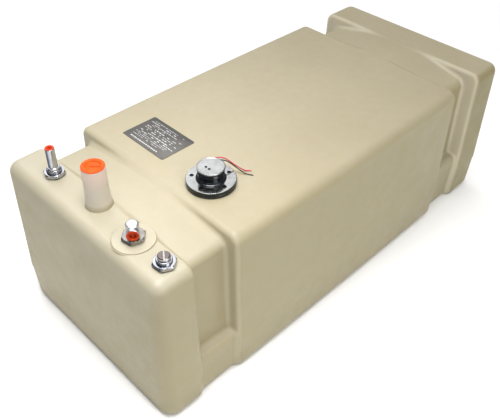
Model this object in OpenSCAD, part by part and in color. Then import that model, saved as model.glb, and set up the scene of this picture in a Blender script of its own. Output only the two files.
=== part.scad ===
// Rectangular rotomoulded liquid tank with two strap recesses, a filler neck,
// a vent fitting, a pickup elbow, a spare threaded fitting and a level sender.
// Origin: centre of the tank's base. +X runs along the length, away from the
// fittings, and +Z is up. All sizes are in millimetres.

/* [Tank] */
// Overall length at the parting line
tank_len = 968; // [940:1:1000]
// Overall width at the parting line, before the side bulge
tank_wid = 432; // [420:1:450]
// Overall height of the moulding
tank_h = 327; // [315:1:340]
// Wall thickness
wall = 6; // [5:0.5:7]
// Height of the parting line
part_z = 84; // [75:1:95]
// Radius of the upright corners at the parting line
corner_r = 28; // [25:1:32]
// Radius of the top edges
top_r = 20; // [16:1:20]
// Radius of the bottom edges
bottom_r = 15; // [12:1:18]
// How far the long sides belly out at mid length
side_bulge = 3.5; // [2:0.5:5]

/* [Strap recesses] */
// Depth of the recesses below the top
strap_depth = 21; // [16:1:24]
// How far the front recess is set into each long side
front_inset = 25; // [20:1:28]
// How far the rear recess is set into each long side
rear_inset = 33; // [26:1:36]
// Half width of the level crown of the front recess
front_crown_half = 20; // [10:1:40]
// How far that crown lies below the top
front_crown_drop = 3; // [1:0.5:6]
// Half width of the rear recess's crown, which is flush with the top
rear_crown_half = 60; // [50:1:70]

/* [Filler neck] */
// Outer diameter at the mouth, for a 1 1/2 inch hose
neck_od = 38.5; // [38:0.5:39]
// Height of the neck above the top
neck_h = 75; // [70:1:80]
// Bore of the neck
neck_bore = 31; // [29:0.5:32]

/* [Fittings] */
// Outer diameter of the vent tube, for a 5/8 inch hose
vent_od = 16; // [15.5:0.1:16.5]
// Height of the vent tube's mouth above the top
vent_h = 54; // [50:1:60]
// Diameter of the raised pad under the pickup elbow
pad_d = 69; // [60:1:72]
// Height of that pad
pad_h = 2.5; // [1.5:0.5:4]
// Diameter of the pickup port's threaded mouth
port_bore = 18; // [17:0.5:19]

/* [Level sender] */
// Diameter of the sender's flange
flange_d = 86; // [82:1:88]
// Diameter of the circle of flange screws
screw_circle_d = 66; // [64:1:68]
// Overall height of the sender above the tank's top
sender_h = 36; // [32:1:38]
// Diameter of the float
float_d = 36; // [32:1:38]
// Height of the float
float_h = 46; // [40:1:50]

/* [Hidden] */

$fn = 64;
eps = 0.01;
gap = 0.05;      // between close-fitting round pieces
draft = 0.032;   // slope of the tank's sides either way from the parting line

// Strap recesses, measured at the top
front_x0 = -403;
front_x1 = -319;
rear_x0 = 302;
rear_x1 = 388;
front_ledge_z = 98;
rear_ledge_z = 116;
ledge_rise = 5;        // the ledge climbs this much from its outer edge inwards
front_band_inset = 7;  // the low band under a recess lies this far in
rear_band_inset = 12;
recess_round = 14;     // radius between a recess's floor and its sides
recess_draft = 1.5;    // the recess walls lean back this far over their height

half_len = tank_len / 2;
half_wid = tank_wid / 2;
corner_x = half_len - corner_r;
corner_y = half_wid - corner_r;
half_wid_top = half_wid - draft * (tank_h - part_z);
top_in = tank_h - wall;   // the ceiling inside

// Places of the fittings on the top
neck_at = [-422, 3];
vent_at = [-432, 116];
pickup_at = [-432, -101];
spare_at = [-432, -174];
sender_at = [-257, -82];
plate_at = [-239, 80];

// Threaded inserts
insert_r = 15;         // body of an insert, seated in the tank's wall
insert_flange_r = 20;
insert_flange_h = 4;   // below the ceiling
thread_r = 10.5;       // the insert's thread

// Filler neck and its plug
neck_base_r = 22;
neck_flare_r = 30;
neck_flare_h = 9;
neck_seat_h = 40;      // straight length that a hose covers
neck_top_z = tank_h + neck_h;
plug_flange_r = 19;
plug_flange_h = 1.6;
plug_depth = 24;
plug_dish_r = 12.5;
plug_dish = 0.2;       // depth of the dish below the flange's underside
plug_tab_w = 2;
plug_tab_turn = -40;

// Vent fitting
seal_h = 1.5;
vent_hex_af = 33;
vent_hex_h = 7;
vent_hex_turn = 14;
vent_boss_r = 13;
vent_boss_h = 5.5;
vent_collar_r = 10.5;
vent_collar_h = 4;
vent_bore_r = 6.4;
vent_cap_r = vent_od / 2 - 0.5;
vent_seat_z = tank_h + seal_h;
vent_boss_z = vent_seat_z + vent_hex_h;
vent_top_z = tank_h + vent_h;

// Pickup fitting
pad_z = tank_h + pad_h;
pickup_hex_af = 34.5;
pickup_hex_h = 8;
pickup_hex_turn = 44;  // heading of one corner, from +X towards +Y
elbow_r = 10.3;        // upright leg
elbow_h = 30;          // above the pad
port_leg_r = 10.8;
port_axis_z = pad_z + 19.5;
elbow_foot_z = pad_z + pickup_hex_h;
port_turn = 234;       // heading of the port, from +X towards +Y
port_reach = 16.5;     // from the upright leg's axis to the mouth
passage_r = 5.5;       // upright passage
cross_passage_r = 4.6; // passage from there to the port
port_depth = 10;
dip_tube_r = 5.45;
dip_end_z = 26;
strainer_r = 9.5;
strainer_h = 42;

// Spare fitting
spare_hex_af = 33.5;
spare_hex_h = 7;
spare_hex_turn = 35;
spare_boss_r = 12.8;
spare_boss_h = 5;
spare_plug_r = 10;
spare_plug_h = 6.5;
spare_slot_w = 2.6;
spare_slot_depth = 2.6;
spare_slot_turn = 54;
spare_hex_z = tank_h + seal_h;
spare_boss_z = spare_hex_z + spare_hex_h;
spare_plug_z = spare_boss_z + spare_boss_h;

// Level sender
gasket_h = 3;
flange_h = 9;          // moulding and face plate together
face_plate_h = 1;
flange_top_z = tank_h + gasket_h + flange_h;
cap_h = 3;
cap_r = 24.5;
cap_z = tank_h + sender_h - cap_h;
hub_r = 22.5;
hub_neck_r = 21;
hub_neck_h = 4;
hub_foot_r = 26;
hub_foot_h = 3;
sender_hole_r = float_d / 2 + 2.5;
screw_count = 5;
screw_r = 2.4;
screw_head_r = 3.3;
screw_head_h = 3;
ring_h = 7;
ring_r = screw_circle_d / 2 + 7;
stem_r = 6;
stem_end_z = 20;
clip_h = 1.2;
clip_r = 10;
float_z = 34;          // underside of the float when the tank is empty
float_travel = 210;

// Free wires of the sender: each leaves the back of the hub, passes over the
// flange and lies on the tank's top
wire_r = 1;
wire_sides = 8;
red_route = [
    [-244, -70, 355], [-240, -67, 357], [-235.5, -66, 358.5], [-230.5, -68.5, 359.5],
    [-225.5, -72.5, 359], [-220.5, -77.5, 357], [-216.5, -82.5, 353], [-212.5, -87, 348],
    [-208, -90.5, 343], [-203.5, -93, 338], [-199, -95, 333.5], [-195, -97.5, 330],
    [-191.5, -100, 328.2], [-188.5, -102.5, 328.1], [-185.5, -105.5, 328.1]
];
black_route = [
    [-241.5, -73.5, 353], [-237, -70.5, 354.5], [-232, -71, 356], [-228, -75, 356.5],
    [-223.5, -79.5, 355.5], [-219, -83.5, 352.5], [-215, -87, 348], [-211, -90.5, 343],
    [-207, -94.5, 338], [-203.5, -98.5, 333.5], [-200.5, -102.5, 330], [-198, -106, 328.2],
    [-196, -109.5, 328.1], [-194, -113, 328.1], [-192, -116.5, 328.1]
];

// Data plate
plate_x = 76;
plate_y = 114;
plate_h = 0.8;

// ---------- shared shapes ----------

// Radius of the tank's upright corner at height z
function corner_at(z) = corner_r - draft * abs(z - part_z);

// Outline of a corner post, drawn in by g all round
function post_outline(g) =
    let (
        rb = bottom_r - g,
        rt = top_r - g,
        cb = corner_at(0) - g,
        ct = corner_at(tank_h) - g
    )
    concat(
        [[0, g]],
        [for (a = [0 : 15 : 90]) [cb - rb + rb * sin(a), g + rb * (1 - cos(a))]],
        [[corner_r - g, part_z]],
        [for (a = [0 : 15 : 90]) [ct - rt + rt * cos(a), tank_h - g - rt + rt * sin(a)]],
        [[0, tank_h - g]]
    );

// The plain moulding without recesses, drawn in by g: corner posts and three
// more along each side that give it its belly
module tank_block(g) {
    hull()
        for (side = [-1, 1], stop = [-1, -0.5, 0, 0.5, 1])
            translate([
                stop * corner_x,
                side * (corner_y + side_bulge * (1 - stop * stop)),
                0
            ])
                rotate_extrude($fn = 32) polygon(post_outline(g));
}

// What a strap recess removes from the block, grown by g: a drafted channel
// across the top and down both sides. Its floor is a crown, level in the
// middle and sloping down to either side
module strap_recess(x0, x1, inset, ledge_z, crown_half, crown_drop, band_inset, g) {
    floor_z = tank_h - strap_depth - g;
    side_y = half_wid_top - inset - g;
    low_side_y = side_y + draft * (floor_z - ledge_z);
    band_y = half_wid - band_inset - g;
    over = tank_h + 20;
    out = half_wid + 30;
    crown_y = crown_half - g;
    crown_z = tank_h - crown_drop - g;
    intersection() {
        rotate([90, 0, 0])
            linear_extrude(height = 2 * out, center = true)
                polygon([
                    [x0 - g, over], [x0 - g, tank_h],
                    [x0 + recess_draft - g, floor_z], [x0 + 2 * recess_draft - g, -5],
                    [x1 - 2 * recess_draft + g, -5], [x1 - recess_draft + g, floor_z],
                    [x1 + g, tank_h], [x1 + g, over]
                ]);
        for (side = [0, 1])
            mirror([0, side, 0])
                rotate([90, 0, 90])
                    linear_extrude(height = 2 * half_len, center = true)
                        polygon(concat(
                            [[-eps, over], [-eps, crown_z], [crown_y, crown_z]],
                            [for (a = [0 : 30 : 90]) [
                                side_y - recess_round * (1 - sin(a)),
                                floor_z - recess_round * (1 - cos(a))
                            ]],
                            [
                                [low_side_y, ledge_z + ledge_rise - g],
                                [band_y, ledge_z - g], [band_y, part_z],
                                [band_y - draft * part_z, -eps], [out, -5], [out, over]
                            ]
                        ));
    }
}

module both_recesses(g) {
    strap_recess(
        front_x0, front_x1, front_inset, front_ledge_z,
        front_crown_half, front_crown_drop, front_band_inset, g
    );
    strap_recess(
        rear_x0, rear_x1, rear_inset, rear_ledge_z,
        rear_crown_half, 0, rear_band_inset, g
    );
}

// Places its children on the sender's circle of screws
module at_sender_screws() {
    for (i = [0 : screw_count - 1])
        translate([sender_at.x, sender_at.y, 0])
            rotate(54 + i * 360 / screw_count)
                translate([screw_circle_d / 2, 0, 0])
                    children();
}

module hex_prism(af, h) {
    cylinder(r = af / 2 / cos(30), h = h, $fn = 6);
}

// Ring about the Z axis
module ring(r_out, r_in, h) {
    difference() {
        cylinder(r = r_out, h = h);
        translate([0, 0, -1]) cylinder(r = r_in, h = h + 2);
    }
}

// Moulded-in threaded insert under the tank's top at the given place
module threaded_insert(at, top_z) {
    translate([at.x, at.y, 0])
        difference() {
            union() {
                translate([0, 0, top_in]) cylinder(r = insert_r, h = top_z - top_in);
                translate([0, 0, top_in - insert_flange_h])
                    cylinder(r = insert_flange_r, h = insert_flange_h);
            }
            translate([0, 0, top_in - insert_flange_h - 1])
                cylinder(r = thread_r, h = top_z - top_in + insert_flange_h + 2);
        }
}

// Moves its children from the port's own axes to its place on the elbow: +Z
// of the children points out of the mouth
module at_port() {
    translate([pickup_at.x, pickup_at.y, port_axis_z])
        rotate([0, 0, port_turn]) rotate([0, 90, 0]) children();
}

// Round tube of radius r swept along a route; each ring stands square to the
// run of its neighbours
module swept_tube(route, r, sides) {
    last = len(route) - 1;
    function unit(v) = v / norm(v);
    function along(i) = unit(route[min(i + 1, last)] - route[max(i - 1, 0)]);
    function across(i) = unit(cross(along(i), [0, 0, 1]));
    function lift(i) = cross(across(i), along(i));
    points = [
        for (i = [0 : last], k = [0 : sides - 1])
            route[i] + r * (cos(360 * k / sides) * across(i) + sin(360 * k / sides) * lift(i))
    ];
    walls = [
        for (i = [0 : last - 1], k = [0 : sides - 1])
            [
                i * sides + k, i * sides + (k + 1) % sides,
                (i + 1) * sides + (k + 1) % sides, (i + 1) * sides + k
            ]
    ];
    near_end = [for (k = [sides - 1 : -1 : 0]) k];
    far_end = [for (k = [0 : sides - 1]) last * sides + k];
    polyhedron(points, concat(walls, [near_end, far_end]), convexity = 4);
}

// ---------- tank ----------

module neck_shape() {
    rotate_extrude()
        polygon(concat(
            [[0, top_in]],
            [[neck_flare_r, top_in], [neck_flare_r, tank_h - 1]],
            [for (a = [15 : 15 : 90])
                [neck_flare_r - (neck_flare_r - neck_base_r) * sin(a),
                    tank_h - 1 + neck_flare_h * (1 - cos(a))]],
            [[neck_od / 2, neck_top_z - neck_seat_h], [neck_od / 2, neck_top_z], [0, neck_top_z]]
        ));
}

module tank_body() {
    color([0.86, 0.82, 0.72])
    difference() {
        union() {
            difference() {
                tank_block(0);
                both_recesses(0);
            }
            translate([neck_at.x, neck_at.y, 0]) neck_shape();
            translate([pickup_at.x, pickup_at.y, tank_h - 1]) cylinder(d = pad_d, h = pad_h + 1);
        }
        difference() {
            tank_block(wall);
            both_recesses(wall);
        }
        translate([neck_at.x, neck_at.y, top_in - 1]) cylinder(d = neck_bore, h = neck_h + wall + 2);
        for (at = [vent_at, pickup_at, spare_at])
            translate([at.x, at.y, top_in - insert_flange_h - 1]) {
                cylinder(r = insert_r + gap, h = wall + insert_flange_h + pad_h + 2);
                cylinder(r = insert_flange_r + gap, h = insert_flange_h + 1);
            }
        translate([sender_at.x, sender_at.y, top_in - 1]) cylinder(r = sender_hole_r, h = wall + 2);
        at_sender_screws()
            translate([0, 0, top_in - 1]) cylinder(r = screw_r + gap, h = wall + 2);
    }
}

// Push-in plug of the filler neck: flange, hollow tapered body and a pull tab
module fill_plug() {
    color([0.93, 0.36, 0.14])
    translate([neck_at.x, neck_at.y, neck_top_z]) {
        rotate_extrude()
            polygon([
                [0, -plug_dish], [plug_dish_r, -plug_dish], [plug_dish_r + 0.5, plug_flange_h],
                [plug_flange_r, plug_flange_h], [plug_flange_r, 0],
                [neck_bore / 2 - 0.3, 0], [neck_bore / 2 - 1.1, -plug_depth],
                [neck_bore / 2 - 2.9, -plug_depth], [neck_bore / 2 - 2.3, -plug_dish - 1.8],
                [0, -plug_dish - 1.8]
            ]);
        rotate(plug_tab_turn)
            translate([-plug_dish_r - 0.1, -plug_tab_w / 2, -plug_dish - 0.2])
                cube([2 * plug_dish_r + 0.2, plug_tab_w, plug_dish + plug_flange_h]);
    }
}

// ---------- vent fitting ----------

module vent_insert() {
    color("goldenrod") threaded_insert(vent_at, tank_h);
}

module vent_seal() {
    color([0.12, 0.12, 0.13])
    translate([vent_at.x, vent_at.y, tank_h]) ring(15.8, thread_r + 0.2, seal_h);
}

module vent_hex_base() {
    color("silver")
    translate([vent_at.x, vent_at.y, 0])
        difference() {
            union() {
                translate([0, 0, vent_seat_z])
                    intersection() {
                        rotate(vent_hex_turn) hex_prism(vent_hex_af, vent_hex_h);
                        rotate_extrude()
                            polygon([
                                [0, 0], [16.6, 0], [19.5, 1.5], [19.5, vent_hex_h - 1.7],
                                [16.4, vent_hex_h], [0, vent_hex_h]
                            ]);
                    }
                translate([0, 0, top_in - 4]) cylinder(r = thread_r - gap, h = vent_seat_z - top_in + 5);
            }
            translate([0, 0, top_in - 5]) cylinder(r = vent_bore_r, h = 40);
        }
}

module vent_tube() {
    color("gainsboro")
    translate([vent_at.x, vent_at.y, vent_boss_z])
        difference() {
            union() {
                rotate_extrude()
                    polygon([
                        [0, 0], [vent_boss_r, 0], [vent_boss_r, vent_boss_h - 2.5],
                        [vent_boss_r - 0.8, vent_boss_h - 0.8], [vent_boss_r - 2.5, vent_boss_h],
                        [vent_collar_r, vent_boss_h], [vent_collar_r, vent_boss_h + vent_collar_h - 1],
                        [vent_collar_r - 1, vent_boss_h + vent_collar_h],
                        [0, vent_boss_h + vent_collar_h]
                    ]);
                cylinder(d = vent_od, h = vent_top_z - vent_boss_z);
            }
            translate([0, 0, -1]) cylinder(r = vent_bore_r, h = vent_h);
        }
}

module vent_cap() {
    color([0.93, 0.33, 0.2])
    translate([vent_at.x, vent_at.y, vent_top_z])
        rotate_extrude()
            polygon([
                [0, -4], [4.4, -4], [4.4, 1.4], [vent_cap_r, 1.4], [vent_cap_r, 0],
                [vent_bore_r - 0.25, 0],
                [vent_bore_r - 0.7, -12], [vent_bore_r - 1.9, -12], [vent_bore_r - 1.9, -5.4], [0, -5.4]
            ]);
}

// ---------- pickup fitting ----------

module pickup_insert() {
    color("goldenrod") threaded_insert(pickup_at, pad_z);
}

module pickup_hex_base() {
    color("silver")
    translate([pickup_at.x, pickup_at.y, 0])
        difference() {
            union() {
                translate([0, 0, pad_z])
                    intersection() {
                        rotate(pickup_hex_turn) hex_prism(pickup_hex_af, pickup_hex_h);
                        rotate_extrude()
                            polygon([
                                [0, 0], [17.4, 0], [20.1, 1.4], [20.1, pickup_hex_h - 1.8],
                                [17.2, pickup_hex_h], [0, pickup_hex_h]
                            ]);
                    }
                translate([0, 0, top_in - 4]) cylinder(r = thread_r - gap, h = pad_z - top_in + 5);
            }
            translate([0, 0, top_in - 5]) cylinder(r = passage_r, h = 60);
        }
}

module pickup_elbow() {
    color("gainsboro")
    difference() {
        union() {
            translate([pickup_at.x, pickup_at.y, elbow_foot_z])
                rotate_extrude()
                    polygon([
                        [0, 0], [elbow_r, 0],
                        [elbow_r, pad_z + elbow_h - elbow_foot_z - 2.5],
                        [elbow_r - 0.8, pad_z + elbow_h - elbow_foot_z - 0.8],
                        [elbow_r - 2.5, pad_z + elbow_h - elbow_foot_z],
                        [0, pad_z + elbow_h - elbow_foot_z]
                    ]);
            at_port() cylinder(r = port_leg_r, h = port_reach);
        }
        translate([pickup_at.x, pickup_at.y, elbow_foot_z - 1])
            cylinder(r = passage_r, h = port_axis_z - elbow_foot_z + 3);
        at_port() cylinder(r = cross_passage_r, h = port_reach);
        at_port() translate([0, 0, port_reach - port_depth]) cylinder(d = port_bore, h = port_depth + 1);
    }
}

module pickup_port_plug() {
    color([0.93, 0.33, 0.2])
    at_port()
        translate([0, 0, port_reach]) {
            rotate_extrude()
                polygon([
                    [0, -4], [6.2, -4], [6.2, 1], [9.8, 1], [9.8, 0], [port_bore / 2 - 0.25, 0],
                    [port_bore / 2 - 0.6, -8.5], [port_bore / 2 - 2, -8.5],
                    [port_bore / 2 - 2, -5.5], [0, -5.5]
                ]);
            translate([-6.4, -1.1, -4.2]) cube([12.8, 2.2, 4.4]);
        }
}

module pickup_dip_tube() {
    color("gainsboro")
    translate([pickup_at.x, pickup_at.y, dip_end_z])
        ring(dip_tube_r, dip_tube_r - 1, top_in - 4 + 8 - dip_end_z);
}

module pickup_strainer() {
    color("darkgray")
    translate([pickup_at.x, pickup_at.y, dip_end_z - 12])
        difference() {
            cylinder(r = strainer_r, h = strainer_h);
            translate([0, 0, 2]) cylinder(r = strainer_r - 1, h = strainer_h - 5);
            translate([0, 0, 12]) cylinder(r = dip_tube_r + gap, h = strainer_h);
        }
}

// ---------- spare fitting ----------

module spare_insert() {
    color("goldenrod") threaded_insert(spare_at, tank_h);
}

module spare_seal() {
    color([0.12, 0.12, 0.13])
    translate([spare_at.x, spare_at.y, tank_h]) ring(15.8, thread_r + 0.2, seal_h);
}

module spare_bushing() {
    color("silver")
    translate([spare_at.x, spare_at.y, 0])
        difference() {
            union() {
                translate([0, 0, spare_hex_z])
                    intersection() {
                        rotate(spare_hex_turn) hex_prism(spare_hex_af, spare_hex_h);
                        rotate_extrude()
                            polygon([
                                [0, 0], [16.9, 0], [19.6, 1.4], [19.6, spare_hex_h - 1.8],
                                [16.6, spare_hex_h], [0, spare_hex_h]
                            ]);
                    }
                translate([0, 0, spare_boss_z])
                    rotate_extrude()
                        polygon([
                            [0, -1], [spare_boss_r, -1], [spare_boss_r, spare_boss_h - 1.6],
                            [spare_boss_r - 1.6, spare_boss_h], [0, spare_boss_h]
                        ]);
                translate([0, 0, top_in - 4]) cylinder(r = thread_r - gap, h = spare_hex_z - top_in + 5);
            }
            translate([0, 0, top_in - 5]) cylinder(r = 8, h = 60);
        }
}

module spare_plug() {
    color("lightgray")
    translate([spare_at.x, spare_at.y, spare_plug_z])
        difference() {
            union() {
                rotate_extrude()
                    polygon([
                        [0, 0], [spare_plug_r, 0], [spare_plug_r, spare_plug_h - 1.5],
                        [spare_plug_r - 1.5, spare_plug_h], [0, spare_plug_h]
                    ]);
                translate([0, 0, -12]) cylinder(r = 8 - gap, h = 13);
            }
            rotate(spare_slot_turn)
                translate([-spare_plug_r - 1, -spare_slot_w / 2, spare_plug_h - spare_slot_depth])
                    cube([2 * spare_plug_r + 2, spare_slot_w, spare_slot_depth + 1]);
        }
}

// ---------- level sender ----------

module sender_gasket() {
    color([0.1, 0.1, 0.11])
    difference() {
        translate([sender_at.x, sender_at.y, tank_h])
            ring(flange_d / 2 - 0.6, sender_hole_r, gasket_h);
        at_sender_screws() translate([0, 0, tank_h - 1]) cylinder(r = screw_r + gap, h = gasket_h + 2);
    }
}

module sender_flange() {
    color([0.06, 0.06, 0.07])
    difference() {
        translate([sender_at.x, sender_at.y, tank_h + gasket_h])
            rotate_extrude()
                polygon([
                    [0, 0], [flange_d / 2, 0], [flange_d / 2, flange_h - face_plate_h - 0.6],
                    [flange_d / 2 - 0.6, flange_h - face_plate_h], [0, flange_h - face_plate_h]
                ]);
        translate([sender_at.x, sender_at.y, tank_h]) cylinder(r = stem_r + gap, h = 20);
        at_sender_screws() {
            translate([0, 0, tank_h]) cylinder(r = screw_r + gap, h = 20);
            translate([0, 0, flange_top_z - screw_head_h]) cylinder(r = screw_head_r + 0.4, h = 10);
        }
    }
}

module sender_face_plate() {
    color([0.78, 0.79, 0.8])
    difference() {
        translate([sender_at.x, sender_at.y, flange_top_z - face_plate_h])
            ring(flange_d / 2 - 0.6, stem_r + 1, face_plate_h);
        at_sender_screws()
            translate([0, 0, flange_top_z - face_plate_h - 1])
                cylinder(r = screw_head_r + 0.4, h = face_plate_h + 2);
    }
}

module sender_hub() {
    color([0.08, 0.08, 0.1])
    translate([sender_at.x, sender_at.y, flange_top_z])
        difference() {
            rotate_extrude()
                polygon([
                    [0, 0], [hub_foot_r, 0], [hub_foot_r - 1.5, hub_foot_h - 1.5], [hub_r, hub_foot_h],
                    [hub_r, cap_z - flange_top_z - hub_neck_h - 1],
                    [hub_neck_r, cap_z - flange_top_z - hub_neck_h],
                    [hub_neck_r, cap_z - flange_top_z], [0, cap_z - flange_top_z]
                ]);
            translate([0, 0, -1]) cylinder(r = hub_neck_r - 3, h = cap_z - flange_top_z - 3);
        }
}

module sender_cap() {
    color([0.72, 0.73, 0.74])
    translate([sender_at.x, sender_at.y, cap_z])
        difference() {
            rotate_extrude()
                polygon([[0, 0], [cap_r, 0], [cap_r, cap_h - 0.8], [cap_r - 0.8, cap_h], [0, cap_h]]);
            for (side = [-1, 1])
                translate([-7, side * 4, 0]) translate([0, 0, -1]) cylinder(r = 1.5 + gap, h = 9);
        }
}

module sender_cap_screws() {
    color([0.2, 0.2, 0.22])
    for (side = [-1, 1])
        translate([sender_at.x - 7, sender_at.y + side * 4, cap_z]) {
            cylinder(r = 1.5, h = cap_h);
            translate([0, 0, cap_h]) cylinder(r = 2.2, h = 0.8);
        }
}

module sender_screws() {
    color([0.25, 0.25, 0.27])
    at_sender_screws() {
        difference() {
            translate([0, 0, flange_top_z - screw_head_h]) cylinder(r = screw_head_r, h = screw_head_h - 0.6);
            translate([0, 0, flange_top_z - 2]) cylinder(r = 2, h = 3, $fn = 6);
        }
        translate([0, 0, top_in - ring_h + 1])
            cylinder(r = screw_r, h = flange_top_z - screw_head_h - top_in + ring_h - 1);
    }
}

module sender_backing_ring() {
    color("goldenrod")
    difference() {
        translate([sender_at.x, sender_at.y, top_in - ring_h]) ring(ring_r, sender_hole_r, ring_h);
        at_sender_screws() translate([0, 0, top_in - ring_h - 1]) cylinder(r = screw_r + gap, h = ring_h + 2);
    }
}

module sender_stem() {
    color("lightgray")
    translate([sender_at.x, sender_at.y, stem_end_z])
        difference() {
            cylinder(r = stem_r, h = flange_top_z - stem_end_z - 1);
            translate([0, 0, 3]) cylinder(r = stem_r - 1.5, h = flange_top_z - stem_end_z);
        }
}

module sender_float() {
    color([0.15, 0.15, 0.16])
    translate([sender_at.x, sender_at.y, float_z])
        difference() {
            rotate_extrude()
                polygon([
                    [0, 0], [float_d / 2 - 3, 0], [float_d / 2, 3], [float_d / 2, float_h - 3],
                    [float_d / 2 - 3, float_h], [0, float_h]
                ]);
            translate([0, 0, -1]) cylinder(r = stem_r + 0.1, h = float_h + 2);
        }
}

module float_clips() {
    color("lightgray")
    for (z = [float_z - clip_h - 0.1, float_z + float_h + float_travel + 0.1])
        translate([sender_at.x, sender_at.y, z]) ring(clip_r, stem_r + gap, clip_h);
}

module red_wire() {
    color([0.86, 0.2, 0.3]) swept_tube(red_route, wire_r, wire_sides);
}

module black_wire() {
    color([0.1, 0.12, 0.12]) swept_tube(black_route, wire_r, wire_sides);
}

// ---------- data plate ----------

module data_plate() {
    color([0.6, 0.6, 0.6])
    translate([plate_at.x, plate_at.y, tank_h])
        linear_extrude(height = plate_h)
            union() {
                square([plate_x - 6, plate_y], center = true);
                square([plate_x, plate_y - 6], center = true);
                for (sx = [-1, 1], sy = [-1, 1])
                    translate([sx * (plate_x / 2 - 3), sy * (plate_y / 2 - 3)]) circle(r = 3);
            }
}

tank_body();
fill_plug();
vent_insert();
vent_seal();
vent_hex_base();
vent_tube();
vent_cap();
pickup_insert();
pickup_elbow();
pickup_hex_base();
pickup_port_plug();
pickup_dip_tube();
pickup_strainer();
spare_insert();
spare_seal();
spare_bushing();
spare_plug();
sender_gasket();
sender_flange();
sender_face_plate();
sender_hub();
sender_cap();
sender_cap_screws();
sender_screws();
sender_backing_ring();
sender_stem();
sender_float();
float_clips();
red_wire();
black_wire();
data_plate();
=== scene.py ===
"""Looks for the rectangular moulded liquid tank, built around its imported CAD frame.

Lengths in this script are millimetres in the CAD's frame. Meshes, lights and the materials' own
coordinates are in metres.
"""

import math
import random

import bmesh
import bpy
import numpy as np
from mathutils import Matrix, Vector


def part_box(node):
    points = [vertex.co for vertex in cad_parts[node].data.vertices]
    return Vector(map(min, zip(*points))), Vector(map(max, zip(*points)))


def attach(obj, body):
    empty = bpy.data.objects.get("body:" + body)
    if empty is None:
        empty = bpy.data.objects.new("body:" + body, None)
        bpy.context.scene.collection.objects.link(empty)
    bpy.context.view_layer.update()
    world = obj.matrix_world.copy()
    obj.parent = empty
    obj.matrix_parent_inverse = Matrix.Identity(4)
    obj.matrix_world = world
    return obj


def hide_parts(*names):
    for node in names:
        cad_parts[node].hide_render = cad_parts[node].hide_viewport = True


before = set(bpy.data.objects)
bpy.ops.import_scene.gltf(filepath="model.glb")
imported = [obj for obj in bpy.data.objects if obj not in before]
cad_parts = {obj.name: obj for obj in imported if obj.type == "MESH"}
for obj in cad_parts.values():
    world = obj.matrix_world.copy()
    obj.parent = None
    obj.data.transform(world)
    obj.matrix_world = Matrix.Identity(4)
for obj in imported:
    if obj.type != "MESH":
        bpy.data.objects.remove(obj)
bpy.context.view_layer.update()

MM = 0.001


def node_box(name):
    """A CAD node's lowest and highest corner in millimetres."""
    low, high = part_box(name)
    return low / MM, high / MM


def node_centre(name):
    return sum(node_box(name), Vector()) / 2


# ---- Driving dimensions, read from the frame where it has them ----
TANK_HIGH = node_box("tank_body")[1]
PLATE_LOW, PLATE_HIGH = node_box("data_plate")
DECK = PLATE_LOW.z                       # height of the tank's flat top
HALF_LEN = TANK_HIGH.x                   # at the parting line
PART_Z = 84.0
SIDE_BULGE = 3.5                         # how far the sides belly out at mid length
HALF_WID = TANK_HIGH.y - SIDE_BULGE
DRAFT = 0.032                            # how fast the walls lean in, away from the parting line
CORNER_R = 28.0
TOP_R = 20.0
BOTTOM_R = 15.0
WALL = 6.0

NECK = node_centre("fill_plug")
NECK_TOP = TANK_HIGH.z
VENT = node_centre("vent_tube")
PICKUP = node_centre("pickup_dip_tube")
SPARE = node_centre("spare_plug")
SENDER = node_centre("sender_cap")
PORT_TURN = math.radians(234)            # where the pickup's side port faces
PORT_REACH = 16.5                        # from the pickup's middle to the port's mouth
PAD_H = 2.5
PORT_Z = DECK + PAD_H + 19.5
SPARE_HEX_H = 7.0
SPARE_BOSS_H = 5.0


# ---- Camera ----
CAMERA_TURN = (-45.77, 41.49, 1.45)      # azimuth, elevation and roll in degrees
CAMERA_PLACE = (-0.8185, -0.7206, 1.0199)
CAMERA_LENS = 47.15


def make_camera():
    azimuth, elevation, roll = (math.radians(a) for a in CAMERA_TURN)
    back = Vector((
        math.sin(azimuth) * math.cos(elevation),
        -math.cos(azimuth) * math.cos(elevation),
        math.sin(elevation),
    ))
    right = Vector((0, 0, 1)).cross(back).normalized()
    up = back.cross(right)
    right_rolled = right * math.cos(roll) + up * math.sin(roll)
    up_rolled = up * math.cos(roll) - right * math.sin(roll)
    data = bpy.data.cameras.new("camera")
    data.sensor_width = 36.0
    data.lens = CAMERA_LENS
    data.clip_start = 0.05
    data.clip_end = 50
    camera = bpy.data.objects.new("camera", data)
    bpy.context.scene.collection.objects.link(camera)
    place = Matrix((right_rolled, up_rolled, back)).transposed().to_4x4()
    place.translation = Vector(CAMERA_PLACE)
    camera.matrix_world = place
    bpy.context.scene.camera = camera


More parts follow.
